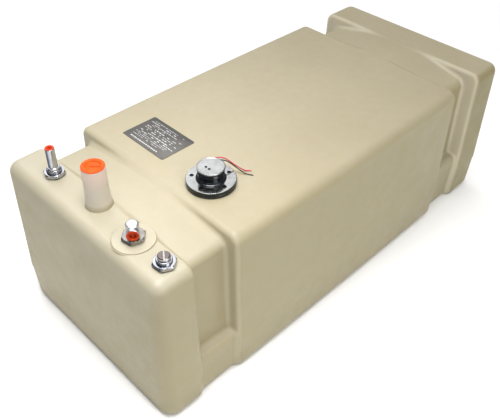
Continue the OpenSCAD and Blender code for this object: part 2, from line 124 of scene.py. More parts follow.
# ---- Materials ----
class Shader:
    """A node tree with a Principled shader, built with a few short calls."""

    def __init__(self, name):
        self.material = bpy.data.materials.new(name)
        self.material.use_nodes = True
        self.tree = self.material.node_tree
        self.tree.nodes.clear()
        self.output = self.tree.nodes.new("ShaderNodeOutputMaterial")
        self.principled = self.tree.nodes.new("ShaderNodeBsdfPrincipled")
        self.link(self.principled.outputs[0], self.output.inputs["Surface"])
        self.place = self.tree.nodes.new("ShaderNodeTexCoord").outputs["Object"]

    def link(self, source, target):
        self.tree.links.new(source, target)

    def feed(self, target, value):
        """Links a socket, or sets a number or a colour."""
        if isinstance(value, bpy.types.NodeSocket):
            self.link(value, target)
        else:
            target.default_value = (*value, 1) if isinstance(value, tuple) else value

    def set(self, **values):
        for name, value in values.items():
            self.principled.inputs[name.replace("_", " ")].default_value = value

    def node(self, kind, **values):
        made = self.tree.nodes.new("ShaderNode" + kind)
        for name, value in values.items():
            setattr(made, name, value)
        return made

    def noise(self, scale, detail=3.0, rough=0.55, stretch=(1, 1, 1)):
        mapping = self.node("Mapping")
        mapping.inputs["Scale"].default_value = stretch
        self.link(self.place, mapping.inputs["Vector"])
        made = self.node("TexNoise")
        made.inputs["Scale"].default_value = scale
        made.inputs["Detail"].default_value = detail
        made.inputs["Roughness"].default_value = rough
        self.link(mapping.outputs["Vector"], made.inputs["Vector"])
        return made.outputs["Fac"]

    def cells(self, scale):
        made = self.node("TexVoronoi")
        made.inputs["Scale"].default_value = scale
        self.link(self.place, made.inputs["Vector"])
        return made.outputs["Distance"]

    def span(self, value, low, high, to_low, to_high, smooth=False):
        made = self.node("MapRange", interpolation_type="SMOOTHSTEP" if smooth else "LINEAR")
        for key, number in (
            ("From Min", low), ("From Max", high), ("To Min", to_low), ("To Max", to_high)
        ):
            made.inputs[key].default_value = number
        self.link(value, made.inputs["Value"])
        return made.outputs["Result"]

    def ramp(self, value, stops):
        made = self.node("ValToRGB")
        ramp = made.color_ramp
        while len(ramp.elements) < len(stops):
            ramp.elements.new(0.5)
        for element, (position, colour) in zip(ramp.elements, stops):
            element.position = position
            element.color = (*colour, 1)
        self.link(value, made.inputs["Fac"])
        return made.outputs["Color"]

    def mix(self, factor, first, second):
        made = self.node("Mix", data_type="RGBA")
        for slot, value in ((0, factor), (6, first), (7, second)):
            self.feed(made.inputs[slot], value)
        return made.outputs[2]

    def times(self, first, second):
        made = self.node("Math", operation="MULTIPLY")
        self.feed(made.inputs[0], first)
        self.feed(made.inputs[1], second)
        return made.outputs[0]

    def bump(self, height, strength, distance, below=None):
        made = self.node("Bump")
        made.inputs["Strength"].default_value = strength
        made.inputs["Distance"].default_value = distance
        self.link(height, made.inputs["Height"])
        if below is not None:
            self.link(below, made.inputs["Normal"])
        return made.outputs["Normal"]

    def along(self, axis):
        """How far along X, Y or Z a place on the surface is, in metres."""
        made = self.node("SeparateXYZ")
        self.link(self.place, made.inputs[0])
        return made.outputs[axis]

    def facing(self, direction, low, high, to_low, to_high):
        """A value that depends on how far the surface faces a fixed direction."""
        geometry = self.node("NewGeometry")
        dot = self.node("VectorMath", operation="DOT_PRODUCT")
        self.link(geometry.outputs["Normal"], dot.inputs[0])
        dot.inputs[1].default_value = direction
        return self.span(dot.outputs["Value"], low, high, to_low, to_high)

    def finish(self, colour, roughness, normal=None):
        self.link(colour, self.principled.inputs["Base Color"])
        self.link(roughness, self.principled.inputs["Roughness"])
        if normal is not None:
            self.link(normal, self.principled.inputs["Normal"])
        return self.material


def polyethylene():
    """Natural rotomoulded polyethylene: cream, waxy, faintly mottled, with a fine skin."""
    s = Shader("tank_polyethylene")
    s.set(IOR=1.52, Subsurface_Weight=0.12, Subsurface_Scale=0.02, Subsurface_Radius=(1.0, 0.75, 0.4))
    x, z = s.along("X"), s.along("Z")
    colour = s.ramp(s.noise(3.5, 4, 0.6), [(0.3, (0.350, 0.304, 0.200)), (0.7, (0.388, 0.342, 0.234))])
    mottle = s.span(s.noise(55, 3, 0.6), 0.35, 0.7, 0.0, 0.25)
    colour = s.mix(mottle, colour, (0.325, 0.275, 0.172))
    # painted shade: the walls are given a darker, more yellow tone than the top
    colour = s.mix(s.facing((0, 0, 1), 0.3, 0.85, 0.7, 0.0), colour, (0.330, 0.285, 0.148))
    # painted highlight: the top is painted paler and whiter towards the end with the fittings, as a broad
    # sheen of light
    upward = s.times(s.facing((-0.5, -0.3, 1), 0.35, 0.9, 0.0, 1.0), s.span(z, 0.26, 0.31, 0.0, 1.0))
    painted_sheen = s.times(s.span(x, -0.30, -0.46, 0.0, 0.45), upward)
    colour = s.mix(painted_sheen, colour, (0.450, 0.425, 0.345))
    # painted light: the walls in the strap recesses that face the tank's near end are painted pale, the rear
    # recess more than the front one
    share = s.times(s.span(x, -0.36, -0.34, 0.0, 0.35), s.span(x, -0.2, 0.2, 1.0, 2.2))
    colour = s.mix(s.times(s.facing((-1, 0, 0), 0.25, 0.8, 0.0, 1.0), share), colour, (0.66, 0.60, 0.46))
    # painted shade: the near side of the rear end panel is painted darker and more yellow
    painted_shade_panel = s.times(s.facing((0, -1, 0), 0.4, 0.9, 0.0, 0.9), s.span(x, 0.385, 0.40, 0.0, 1.0))
    colour = s.mix(painted_shade_panel, colour, (0.258, 0.215, 0.090))
    # streaks darken the walls towards the bottom
    streak = s.times(s.span(z, 0.0, 0.10, 1.0, 0.0), s.noise(18, 4, 0.6, stretch=(1, 1, 0.15)))
    colour = s.mix(s.times(streak, 0.35), colour, (0.290, 0.240, 0.148))
    # the thin-walled neck is paler than the tank
    paler = s.span(z, (DECK + 1) * MM, (DECK + 12) * MM, 0.0, 0.85, smooth=True)
    colour = s.mix(paler, colour, (0.600, 0.545, 0.455))
    # painted light: the neck's upper part is tinted pink, as if lit by its bright orange plug
    painted_plug_glow = s.span(z, (NECK_TOP - 45) * MM, (NECK_TOP - 1) * MM, 0.0, 0.55, smooth=True)
    colour = s.mix(painted_plug_glow, colour, (0.74, 0.51, 0.44))
    rough = s.span(s.noise(28, 3), 0.3, 0.7, 0.38, 0.52)
    wave = s.bump(s.noise(9, 2, 0.5), 0.25, 0.0025)
    skin = s.bump(s.noise(420, 2, 0.5), 0.22, 0.0004, wave)
    pits = s.bump(s.cells(900), 0.08, 0.0002, skin)
    return s.finish(colour, rough, pits)


def soft_plastic(name, dark, light, rough=0.42):
    """Soft low-density polyethylene of the shipping plugs."""
    s = Shader(name)
    s.set(IOR=1.4, Specular_IOR_Level=0.2)
    s.set(Subsurface_Weight=0.2, Subsurface_Scale=0.004, Subsurface_Radius=(1.0, 0.3, 0.1))
    colour = s.ramp(s.noise(90, 3), [(0.3, dark), (0.7, light)])
    roughness = s.span(s.noise(160, 2), 0.3, 0.7, rough - 0.08, rough + 0.1)
    return s.finish(colour, roughness, s.bump(s.noise(700, 2), 0.15, 0.0002))


def metal(
    name, dark, light, rough, scratch=0.3, stretch=(1, 1, 6), grain=500, wear=0.0, painted_dark_reflection=0.0, worn_face=None
):
    """Plated or machined metal with fine tool marks and slightly uneven gloss.

    painted_dark_reflection is how strongly a dark reflection is painted onto what faces the tank's near end,
    and worn_face is the height of a face whose plating is gone, with the metal's tone there.
    """
    s = Shader(name)
    s.set(Metallic=1.0)
    colour = s.ramp(s.noise(60, 4), [(0.3, dark), (0.7, light)])
    if worn_face:
        level, tone = worn_face
        worn = s.span(s.along("Z"), (level - 1.4) * MM, (level - 0.5) * MM, 0.0, 0.9)
        colour = s.mix(worn, colour, tone)
    if painted_dark_reflection:
        # painted reflection: what faces the tank's near end is painted dark navy, like a reflection of
        # something dark
        colour = s.mix(s.facing((-0.94, 0.33, 0), 0.45, 0.8, 0.0, painted_dark_reflection), colour, (0.02, 0.03, 0.07))
    marks = s.noise(grain, 3, 0.6, stretch=stretch)
    roughness = s.span(marks, 0.3, 0.7, max(rough - 0.07, 0.04), rough + 0.1)
    if wear:
        spots = s.span(s.noise(240, 4, 0.65), 0.6, 0.72, 0.0, wear)
        colour = s.mix(spots, colour, tuple(c * 0.45 for c in dark))
    return s.finish(colour, roughness, s.bump(marks, scratch, 0.00008))


def hard_plastic(name, dark, light, rough, coat=0.0):
    """Glossy glass-filled moulding."""
    s = Shader(name)
    s.set(IOR=1.45, Coat_Weight=coat, Coat_Roughness=0.06)
    colour = s.ramp(s.noise(70, 3), [(0.35, dark), (0.7, light)])
    roughness = s.span(s.noise(130, 3), 0.3, 0.7, rough, rough + 0.12)
    return s.finish(colour, roughness, s.bump(s.noise(260, 2), 0.12, 0.0003))


def rubber(name):
    """Dull black rubber of the seals and the gasket."""
    s = Shader(name)
    s.set(IOR=1.45)
    colour = s.ramp(s.noise(120, 3), [(0.3, (0.016, 0.016, 0.017)), (0.7, (0.04, 0.04, 0.042))])
    roughness = s.span(s.noise(200, 3), 0.3, 0.7, 0.62, 0.82)
    return s.finish(colour, roughness, s.bump(s.noise(900, 2), 0.3, 0.0002))


def wire_skin(name, dark, light):
    """Extruded insulation with faint lengthwise gloss."""
    s = Shader(name)
    s.set(IOR=1.5, Coat_Weight=0.15)
    colour = s.ramp(s.noise(150, 3), [(0.3, dark), (0.7, light)])
    roughness = s.span(s.noise(300, 2), 0.3, 0.7, 0.33, 0.48)
    return s.finish(colour, roughness, s.bump(s.noise(1200, 2), 0.2, 0.0001))


def strainer_mesh():
    """Woven wire of the pickup's strainer: dark openings between bright wires."""
    s = Shader("strainer_mesh")
    s.set(Metallic=1.0)
    weave = s.cells(900)
    colour = s.ramp(weave, [(0.25, (0.04, 0.04, 0.04)), (0.55, (0.60, 0.60, 0.58))])
    return s.finish(colour, s.span(weave, 0, 1, 0.5, 0.3), s.bump(weave, 0.6, 0.0003))


def etched_plate():
    """Brushed steel plate, darkened by etching, with light scratches."""
    s = Shader("etched_plate")
    s.set(Metallic=0.75)
    brush = s.noise(300, 4, 0.65, stretch=(1, 12, 1))
    stain = s.noise(30, 4, 0.6)
    colour = s.ramp(brush, [(0.25, (0.075, 0.070, 0.064)), (0.75, (0.155, 0.147, 0.138))])
    colour = s.mix(s.span(stain, 0.4, 0.7, 0.0, 0.45), colour, (0.165, 0.160, 0.152))
    roughness = s.span(brush, 0.3, 0.7, 0.34, 0.5)
    return s.finish(colour, roughness, s.bump(brush, 0.3, 0.0001))


# ---- Mesh helpers ----
def mesh_object(name, points, faces, smooth_angle=35):
    """A new object from points in millimetres and faces."""
    mesh = bpy.data.meshes.new(name)
    mesh.from_pydata([tuple(p) for p in np.asarray(points, float) * MM], [], faces)
    mesh.validate()
    obj = bpy.data.objects.new(name, mesh)
    bpy.context.scene.collection.objects.link(obj)
    shade(obj, smooth_angle)
    return obj


def shade(obj, smooth_angle=35):
    """Smooth faces, with edges sharper than the angle kept crisp."""
    bm = bmesh.new()
    bm.from_mesh(obj.data)
    bmesh.ops.recalc_face_normals(bm, faces=bm.faces)
    limit = math.radians(smooth_angle)
    for face in bm.faces:
        face.smooth = True
    for edge in bm.edges:
        edge.smooth = len(edge.link_faces) == 2 and edge.calc_face_angle(0) < limit
    bm.to_mesh(obj.data)
    bm.free()


def bake_modifiers(obj):
    """Puts the evaluated mesh back on the object and drops its modifiers."""
    graph = bpy.context.evaluated_depsgraph_get()
    mesh = bpy.data.meshes.new_from_object(obj.evaluated_get(graph))
    obj.modifiers.clear()
    old = obj.data
    obj.data = mesh
    bpy.data.meshes.remove(old)


def combine(obj, others, operation, smooth_angle=35):
    """Boolean of obj with each of the others, which are then removed."""
    for other in others:
        modifier = obj.modifiers.new("combine", "BOOLEAN")
        modifier.operation = operation
        modifier.solver = "MANIFOLD"
        modifier.object = other
        bake_modifiers(obj)
    for other in others:
        mesh = other.data
        bpy.data.objects.remove(other)
        bpy.data.meshes.remove(mesh)
    shade(obj, smooth_angle)
    return obj


def move(obj, matrix):
    """Moves an object's own mesh by a matrix in millimetres."""
    scaled = matrix.copy()
    scaled.translation *= MM
    obj.data.transform(scaled)
    return obj


def rounded(profile, steps=5):
    """A profile of (radius, height, rounding) corners with each corner turned into an arc."""
    count = len(profile)
    points = []
    for i, (r, z, radius) in enumerate(profile):
        here = Vector((r, z))
        if radius <= 0:
            points.append(here)
            continue
        before = Vector(profile[i - 1][:2]) - here
        after = Vector(profile[(i + 1) % count][:2]) - here
        angle = before.angle(after)
        reach = min(radius / math.tan(angle / 2), 0.49 * before.length, 0.49 * after.length)
        true_radius = reach * math.tan(angle / 2)
        middle = here + (before.normalized() + after.normalized()).normalized() * (
            true_radius / math.sin(angle / 2)
        )
        start = here + before.normalized() * reach - middle
        end = here + after.normalized() * reach - middle
        turn = start.angle_signed(end)
        for k in range(steps + 1):
            step = -turn * k / steps
            points.append(middle + Vector((
                start.x * math.cos(step) - start.y * math.sin(step),
                start.x * math.sin(step) + start.y * math.cos(step),
            )))
    return points


def lathe(name, profile, at=(0, 0, 0), segments=96, radius_of=None, smooth_angle=35):
    """Solid of revolution about the local Z axis. profile is a closed loop of (radius, height,
    rounding). radius_of, if given, trims each radius by the angle, as on a hexagon."""
    outline = rounded(profile)
    points, rows = [], []
    for p in outline:
        if p.x < 1e-6:
            rows.append([len(points)])
            points.append((at[0], at[1], at[2] + p.y))
            continue
        row = []
        for k in range(segments):
            angle = 2 * math.pi * k / segments
            r = p.x if radius_of is None else radius_of(angle, p.x)
            row.append(len(points))
            points.append((at[0] + r * math.cos(angle), at[1] + r * math.sin(angle), at[2] + p.y))
        rows.append(row)
    faces = []
    for low, high in zip(rows, rows[1:] + rows[:1]):
        if len(low) == 1 and len(high) == 1:
            continue
        for k in range(segments):
            n = (k + 1) % segments
            if len(low) == 1:
                faces.append((low[0], high[n], high[k]))
            elif len(high) == 1:
                faces.append((low[k], low[n], high[0]))
            else:
                faces.append((low[k], low[n], high[n], high[k]))
    return mesh_object(name, points, faces, smooth_angle)


def hexagon(across_flats, corner_r, turn=0.0):
    """Trims a radius to a hexagon with slightly rounded corners."""
    def radius_of(angle, r):
        local = (angle - turn) % (math.pi / 3) - math.pi / 6
        flat = across_flats / 2 / math.cos(local)
        return min(r, flat, corner_r)
    return radius_of


def rounded_box(name, low, high, radius, turn=0.0, at=(0, 0, 0)):
    """Box with bevelled edges, turned about Z through at."""
    obj = mesh_object(name, *box_faces(low, high))
    bevel = obj.modifiers.new("bevel", "BEVEL")
    bevel.width = radius * MM
    bevel.segments = 3
    bake_modifiers(obj)
    shade(obj, 40)
    return move(obj, Matrix.Translation(Vector(at)) @ Matrix.Rotation(turn, 4, "Z"))


def box_faces(low, high):
    corners = [(x, y, z) for x in (low[0], high[0]) for y in (low[1], high[1]) for z in (low[2], high[2])]
    faces = [(0, 1, 3, 2), (4, 6, 7, 5), (0, 4, 5, 1), (2, 3, 7, 6), (0, 2, 6, 4), (1, 5, 7, 3)]
    return corners, faces


def dress(obj, material, body, slot, *replaced):
    """Gives a piece its material, body and the CAD nodes that it stands for."""
    obj.data.materials.clear()
    obj.data.materials.append(material)
    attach(obj, body)
    if replaced:
        obj.name = replaced[0] + "_finished"
        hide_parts(*replaced)
    return obj


# ---- Smooth solids from distance fields ----
def soft_max(a, b, radius):
    """Intersection of two fields with a round edge."""
    inside = np.minimum(-radius, np.maximum(a, b))
    return inside + np.hypot(np.maximum(a + radius, 0), np.maximum(b + radius, 0))


def soft_min(a, b, radius):
    """Union of two fields with a round inner corner."""
    return -soft_max(-a, -b, radius)


def smooth_step(t):
    t = np.clip(t, 0, 1)
    return t * t * (3 - 2 * t)


def grid_line(low, high, coarse, zones):
    """Stations from low to high, close together in zones of (start, end, step)."""
    least = 0.4
    stops, here = [low], low
    while here < high:
        if any(start <= here <= end for start, end, _ in zones):
            step = min([coarse] + [step for start, end, step in zones if start - coarse <= here <= end])
        else:
            ahead = [start - here for start, _, _ in zones if start > here]
            step = min(coarse, max(min(ahead), least)) if ahead else coarse
        here = min(here + step, high)
        stops.append(here)
    return np.array(stops, float)


def net_surface(xs, ys, zs, field):
    """Surface net of field = 0 over a rectilinear grid: (points, quads), inside is negative."""
    gx, gy, gz = np.meshgrid(xs, ys, zs, indexing="ij")
    f = field(gx, gy, gz)
    inside = f < 0
    cells = tuple(n - 1 for n in f.shape)
    total = np.zeros((cells[0] * cells[1] * cells[2], 3))
    hits = np.zeros(len(total))
    stations = (xs, ys, zs)
    crossings = []
    for axis in range(3):
        low = [slice(None)] * 3
        high = [slice(None)] * 3
        low[axis] = slice(0, -1)
        high[axis] = slice(1, None)
        low, high = tuple(low), tuple(high)
        index = np.argwhere(inside[low] != inside[high])
        a = f[low][tuple(index.T)]
        b = f[high][tuple(index.T)]
        share = a / (a - b)
        place = np.stack([stations[k][index[:, k]] for k in range(3)], 1)
        step = stations[axis][index[:, axis] + 1] - stations[axis][index[:, axis]]
        place[:, axis] += share * step
        others = [k for k in range(3) if k != axis]
        around = []
        for du, dv in ((-1, -1), (0, -1), (0, 0), (-1, 0)):
            cell = index.copy()
            cell[:, others[0]] += du
            cell[:, others[1]] += dv
            around.append(np.ravel_multi_index(tuple(cell.T), cells))
            np.add.at(total, around[-1], place)
            np.add.at(hits, around[-1], 1)
        forward = a < 0
        if axis == 1:
            forward = ~forward
        crossings.append((np.stack(around, 1), forward))
    used = np.flatnonzero(hits)
    number = np.full(len(total), -1)
    number[used] = np.arange(len(used))
    points = total[used] / hits[used][:, None]
    quads = []
    for around, forward in crossings:
        q = number[around]
        q[~forward] = q[~forward][:, ::-1]
        quads.append(q)
    return points, np.concatenate(quads)


def settle(points, field, rounds=4):
    """Slides points onto field = 0."""
    h = 0.05
    for _ in range(rounds):
        x, y, z = points.T
        value = field(x, y, z)
        slope = np.stack([
            (field(x + h, y, z) - field(x - h, y, z)) / (2 * h),
            (field(x, y + h, z) - field(x, y - h, z)) / (2 * h),
            (field(x, y, z + h) - field(x, y, z - h)) / (2 * h),
        ], 1)
        size = np.maximum((slope ** 2).sum(1), 0.05)
        step = (value / size)[:, None] * slope
        length = np.maximum(np.linalg.norm(step, axis=1), 1e-9)
        step *= np.minimum(1, 2.0 / length)[:, None]
        points = points - step
    return points


# ---- The tank ----
RECESSES = (
    # x0, x1, side inset, ledge height, half width and drop of the crown, band inset;
    # the rear crown rises out of the top, which keeps its middle flush
    (-403.0, -319.0, 25.0, 98.0, 20.0, 1.7, 7.0),
    (302.0, 388.0, 33.0, 116.0, 45.0, -6.0, 12.0),
)
STRAP_DEPTH = 21.0
RECESS_ROUND = 14.0
EDGE_ROUND = 9.0
LEDGE_RISE = 5.0
LEDGE_ROUND = 7.0
SKIRT_R = 6.0
SEAM_STEP = 0.8
SEAM_HEIGHT = 0.8
RECESS_LEAN = 0.07    # how far a recess narrows with depth
INSERT_HOLE_R = 15.05
SENDER_HOLE_R = 20.5
NECK_BORE_R = 15.5


def seam(z):
    """The small step in of the walls below the parting line."""
    return SEAM_STEP * smooth_step((PART_Z + SEAM_HEIGHT / 2 - z) / SEAM_HEIGHT)


def block_field(x, y, z):
    """The plain moulding: drafted walls, bellied sides and round edges."""
    lean = DRAFT * np.abs(z - PART_Z)
    half_x = HALF_LEN - lean - seam(z)
    belly = SIDE_BULGE * np.clip(1 - (x / (HALF_LEN - CORNER_R)) ** 2, 0, 1)
    half_y = HALF_WID - lean - seam(z) + belly
    corner = CORNER_R - lean
    qx = np.abs(x) - half_x + corner
    qy = np.abs(y) - half_y + corner
    wall = np.minimum(np.maximum(qx, qy), 0) + np.hypot(np.maximum(qx, 0), np.maximum(qy, 0)) - corner
    return soft_max(soft_max(wall, z - DECK, TOP_R), -z, BOTTOM_R)


def core_field(y, z, inset, ledge_z, crown_half, drop, band_inset):
    """What is left under a strap recess, as if it ran the whole length."""
    away = np.abs(y)
    floor = DECK - STRAP_DEPTH
    side_top = HALF_WID - DRAFT * (DECK - PART_Z) - inset
    run = math.hypot(side_top - RECESS_ROUND, crown_half) - crown_half
    fall = (STRAP_DEPTH - drop) * (np.hypot(away, crown_half) - crown_half) / run
    side = side_top + DRAFT * (floor - z)
    upper = soft_max(away - side, z - (DECK - drop - fall), RECESS_ROUND)
    band = HALF_WID - band_inset - DRAFT * np.abs(z - PART_Z) - seam(z)
    ledge = ledge_z + LEDGE_RISE * np.clip((HALF_WID - away) / inset, 0, 1)
    lower = soft_max(away - band, z - ledge, LEDGE_ROUND)
    return soft_min(upper, lower, SKIRT_R)


def tank_field(x, y, z):
    """The moulding with both strap recesses cut into it."""
    block = block_field(x, y, z)
    field = block
    for x0, x1, *shape in RECESSES:
        half = (x1 - x0) / 2
        depth = np.clip(-block, 0, 30)
        outside_band = half - RECESS_LEAN * depth - np.abs(x - (x0 + x1) / 2)
        core = core_field(y, z, *shape)
        field = soft_max(field, soft_min(outside_band, core, EDGE_ROUND), EDGE_ROUND)
    return field


def tank_skin():
    """The outside of the moulding, as a net that is fine where it bends."""
    edge_zones = [(-490, -452, 3.2), (452, 490, 3.2)]
    recess_zones = [(x - 15, x + 15, 2.0) for r in RECESSES for x in r[:2]]
    xs = grid_line(-490, 490, 10, edge_zones + recess_zones)
    ys = grid_line(-225, 225, 9, [(-225, -155, 2.6), (155, 225, 2.6)])
    zs = grid_line(-4, 332, 9, [(-4, 17, 2.4), (81, 87, 0.45), (88, 132, 2.5), (290, 332, 2.4)])
    points, quads = net_surface(xs, ys, zs, tank_field)
    points = settle(points, tank_field)
    return mesh_object("tank", points, quads.tolist(), 40)


def tank_cavity():
    """The hollow inside, a wall's thickness in from the skin."""
    def field(x, y, z):
        return tank_field(x, y, z) + WALL
    xs = grid_line(-485, 485, 12, [(-485, -455, 5), (455, 485, 5), (-415, -305, 5), (290, 400, 5)])
    ys = grid_line(-220, 220, 12, [(-220, -155, 5), (155, 220, 5)])
    zs = grid_line(0, 330, 12, [(0, 20, 5), (85, 130, 5), (285, 330, 5)])
    points, quads = net_surface(xs, ys, zs, field)
    return mesh_object("cavity", settle(points, field), quads.tolist(), 40)


def cylinder(name, x, y, z0, z1, r, segments=64):
    return lathe(name, [(0, z0, 0), (r, z0, 0), (r, z1, 0), (0, z1, 0)], (x, y, 0), segments)


def over(node):
    """A fitting's place in plan, for pieces whose heights are given from the floor."""
    return node.x, node.y, 0


def make_tank(material):
    tank = tank_skin()
    neck = lathe("neck", [
        (0, DECK - 5.5, 0), (24.6, DECK - 5.5, 0), (22.6, DECK + 2, 5), (21.4, DECK + 7, 8),
        (20.4, DECK + 18, 8), (19.25, DECK + 35, 10), (19.2, NECK_TOP, 1.4), (0, NECK_TOP, 0),
    ], over(NECK), 128)
    pad = lathe("pad", [
        (0, DECK - 4, 0), (35.6, DECK - 4, 0), (35.6, DECK - 0.25, 0), (34.6, DECK + 0.2, 0.8),
        (34.0, DECK + PAD_H, 1.2), (0, DECK + PAD_H, 0),
    ], over(PICKUP), 128)
    combine(tank, [neck, pad], "UNION", 40)
    through = DECK - 12, DECK + 12
    holes = [cylinder("hole", p.x, p.y, *through, INSERT_HOLE_R) for p in (VENT, PICKUP, SPARE)]
    holes.append(cylinder("hole", SENDER.x, SENDER.y, *through, SENDER_HOLE_R))
    bore = lathe("bore", [
        (0, through[0], 0), (NECK_BORE_R, through[0], 0), (NECK_BORE_R, NECK_TOP - 0.8, 0.6),
        (NECK_BORE_R + 1.1, NECK_TOP + 1, 0), (0, NECK_TOP + 1, 0),
    ], over(NECK), 96)
    combine(tank, [tank_cavity(), bore] + holes, "DIFFERENCE", 40)
    dress(tank, material, "tank", "poly", "tank_body")


# ---- Stage ----
WORLD_LIGHT = 0.30
SUN_LIGHT = 0.54      # what the sun adds on level ground, where 1 makes white paper white
SUN_SOFTNESS = 60     # degrees


def make_stage():
    """White floor, a dim even sky, a broad soft sun and three lamps."""
    world = bpy.data.worlds.new("studio")
    bpy.context.scene.world = world
    world.use_nodes = True
    background = world.node_tree.nodes["Background"]
    background.inputs["Color"].default_value = (1, 1, 1, 1)
    background.inputs["Strength"].default_value = WORLD_LIGHT
    half = 30000
    floor = mesh_object(
        "floor", [(-half, -half, 0), (half, -half, 0), (half, half, 0), (-half, half, 0)], [(0, 1, 2, 3)]
    )
    s = Shader("studio_floor")
    s.set(Specular_IOR_Level=0.1)
    colour = s.ramp(s.noise(2, 2), [(0.3, (0.94, 0.94, 0.94)), (0.7, (0.96, 0.96, 0.96))])
    floor.data.materials.append(s.finish(colour, s.span(s.noise(4), 0, 1, 0.8, 0.9)))
    sun = bpy.data.lights.new("sun", "SUN")
    sun.energy = SUN_LIGHT * math.pi
    sun.angle = math.radians(SUN_SOFTNESS)
    place_lamp(sun, (200, 100, 2500), (0, 0, 0))
    lamp("back", (470, 1670, 1930), (-400, -100, 300), 2200, 20)
    lamp("front", (-440, -160, 1350), (-420, -90, 300), 600, 2.7, 80)
    lamp("side", (-300, -1900, 1500), (0, -100, 150), 1200, 16)
    bpy.context.scene.view_settings.view_transform = "Standard"
    bpy.context.scene.view_settings.look = "None"


def lamp(name, at, towards, size, power, spread=180):
    """A round lamp; size in millimetres, power in watts, spread in degrees."""
    data = bpy.data.lights.new(name, "AREA")
    data.shape = "DISK"
    data.spread = math.radians(spread)
    data.size = size * MM
    data.energy = power
    place_lamp(data, at, towards)


def place_lamp(data, at, towards):
    obj = bpy.data.objects.new(data.name, data)
    bpy.context.scene.collection.objects.link(obj)
    obj.location = Vector(at) * MM
    obj.rotation_euler = (Vector(towards) - Vector(at)).to_track_quat("-Z", "Y").to_euler()


# ---- The sender's wires ----
WIRE_R = 1.0
WIRE_CORE_R = 0.55
RED_ROUTE = [
    (-244, -70, 355), (-240, -67, 357), (-235.5, -66, 358.5), (-230.5, -68.5, 359.5),
    (-225.5, -72.5, 359), (-220.5, -77.5, 357), (-216.5, -82.5, 353), (-212.5, -87, 348),
    (-208, -90.5, 343), (-203.5, -93, 338), (-199, -95, 333.5), (-195, -97.5, 330),
    (-191.5, -100, 328.2), (-188.5, -102.5, 328.1), (-185.5, -105.5, 328.1),
]
BLACK_ROUTE = [
    (-241.5, -73.5, 353), (-237, -70.5, 354.5), (-232, -71, 356), (-228, -75, 356.5),
    (-223.5, -79.5, 355.5), (-219, -83.5, 352.5), (-215, -87, 348), (-211, -90.5, 343),
    (-207, -94.5, 338), (-203.5, -98.5, 333.5), (-200.5, -102.5, 330), (-198, -106, 328.2),
    (-196, -109.5, 328.1), (-194, -113, 328.1), (-192, -116.5, 328.1),
]


def smooth_path(route, steps=5):
    """A Catmull-Rom curve through the route's points."""
    stops = [Vector(p) for p in route]
    stops = [2 * stops[0] - stops[1]] + stops + [2 * stops[-1] - stops[-2]]
    path = []
    for a, b, c, d in zip(stops, stops[1:], stops[2:], stops[3:]):
        for k in range(steps):
            t = k / steps
            path.append(0.5 * (
                2 * b + (c - a) * t + (2 * a - 5 * b + 4 * c - d) * t ** 2
                + (3 * b - a - 3 * c + d) * t ** 3
            ))
    return path + [stops[-2]]


def make_wire(name, route, insulation, copper, slot, sides=14):
    """A wire's insulation as a tube, with the cut copper showing in its far end."""
    path = smooth_path(route)
    last = len(path) - 1
    points, faces = [], []
    across = None
    rings = [(i, WIRE_R) for i in range(last + 1)] + [(last, WIRE_CORE_R)]
    for i, radius in rings:
        along = (path[min(i + 1, last)] - path[max(i - 1, 0)]).normalized()
        if across is None:
            across = along.orthogonal().normalized()
        across = (across - along * across.dot(along)).normalized()
        lift = along.cross(across)
        for k in range(sides):
            angle = 2 * math.pi * k / sides
            points.append(path[i] + radius * (math.cos(angle) * across + math.sin(angle) * lift))
    for ring in range(len(rings) - 1):
        for k in range(sides):
            n = (k + 1) % sides
            low, high = ring * sides, (ring + 1) * sides
            faces.append((low + k, low + n, high + n, high + k))
    faces.append(tuple(range(sides))[::-1])
    faces.append(tuple(range((len(rings) - 1) * sides, len(rings) * sides)))
    wire = mesh_object(name, points, faces)
    dress(wire, insulation, "tank", slot, name)
    wire.data.materials.append(copper)
    wire.data.polygons[-1].material_index = 1


# ---- Filler plug ----
def make_fill_plug(material):
    """Flange, shallow dish with a pull tab across it, and a hollow tapered body with two ribs."""
    rim = node_box("fill_plug")[1].z
    plug = lathe("fill_plug", [
        (0, rim - 1.6, 0), (12.2, rim - 1.6, 0.8), (12.8, rim, 0.6), (19.0, rim, 0.7),
        (19.0, NECK_TOP, 0.3), (15.2, NECK_TOP, 0.2), (15.1, NECK_TOP - 5, 0), (15.35, NECK_TOP - 6.2, 0.5),
        (15.0, NECK_TOP - 7.4, 0), (14.7, NECK_TOP - 14, 0), (15.0, NECK_TOP - 15.2, 0.5),
        (14.55, NECK_TOP - 16.4, 0), (14.4, NECK_TOP - 24, 0.8), (12.6, NECK_TOP - 24, 0.6),
        (13.2, NECK_TOP - 2, 1.5), (0, NECK_TOP - 2, 0),
    ], over(NECK), 128)
    tab = rounded_box(
        "tab", (-12.5, -1.0, rim - 2.2), (12.5, 1.0, rim - 0.7), 0.4, math.radians(-40), over(NECK)
    )
    combine(plug, [tab], "UNION", 38)
    dress(plug, material, "fill_plug_body", "orange", "fill_plug")


# ---- Threaded fittings ----
THREAD_R = 10.4
THREAD_PITCH = 1.8
THREAD_DEPTH = 0.75


def threaded_stub(z_low, z_high, r):
    """Outline of a threaded stub as (radius, height, rounding) rings, from the bottom up."""
    outline = []
    count = int((z_high - z_low) / THREAD_PITCH)
    for k in range(count):
        z = z_low + k * THREAD_PITCH
        outline += [(r - THREAD_DEPTH, z, 0), (r, z + 0.45 * THREAD_PITCH, 0.12)]
    return outline + [(r - THREAD_DEPTH, z_high, 0)]


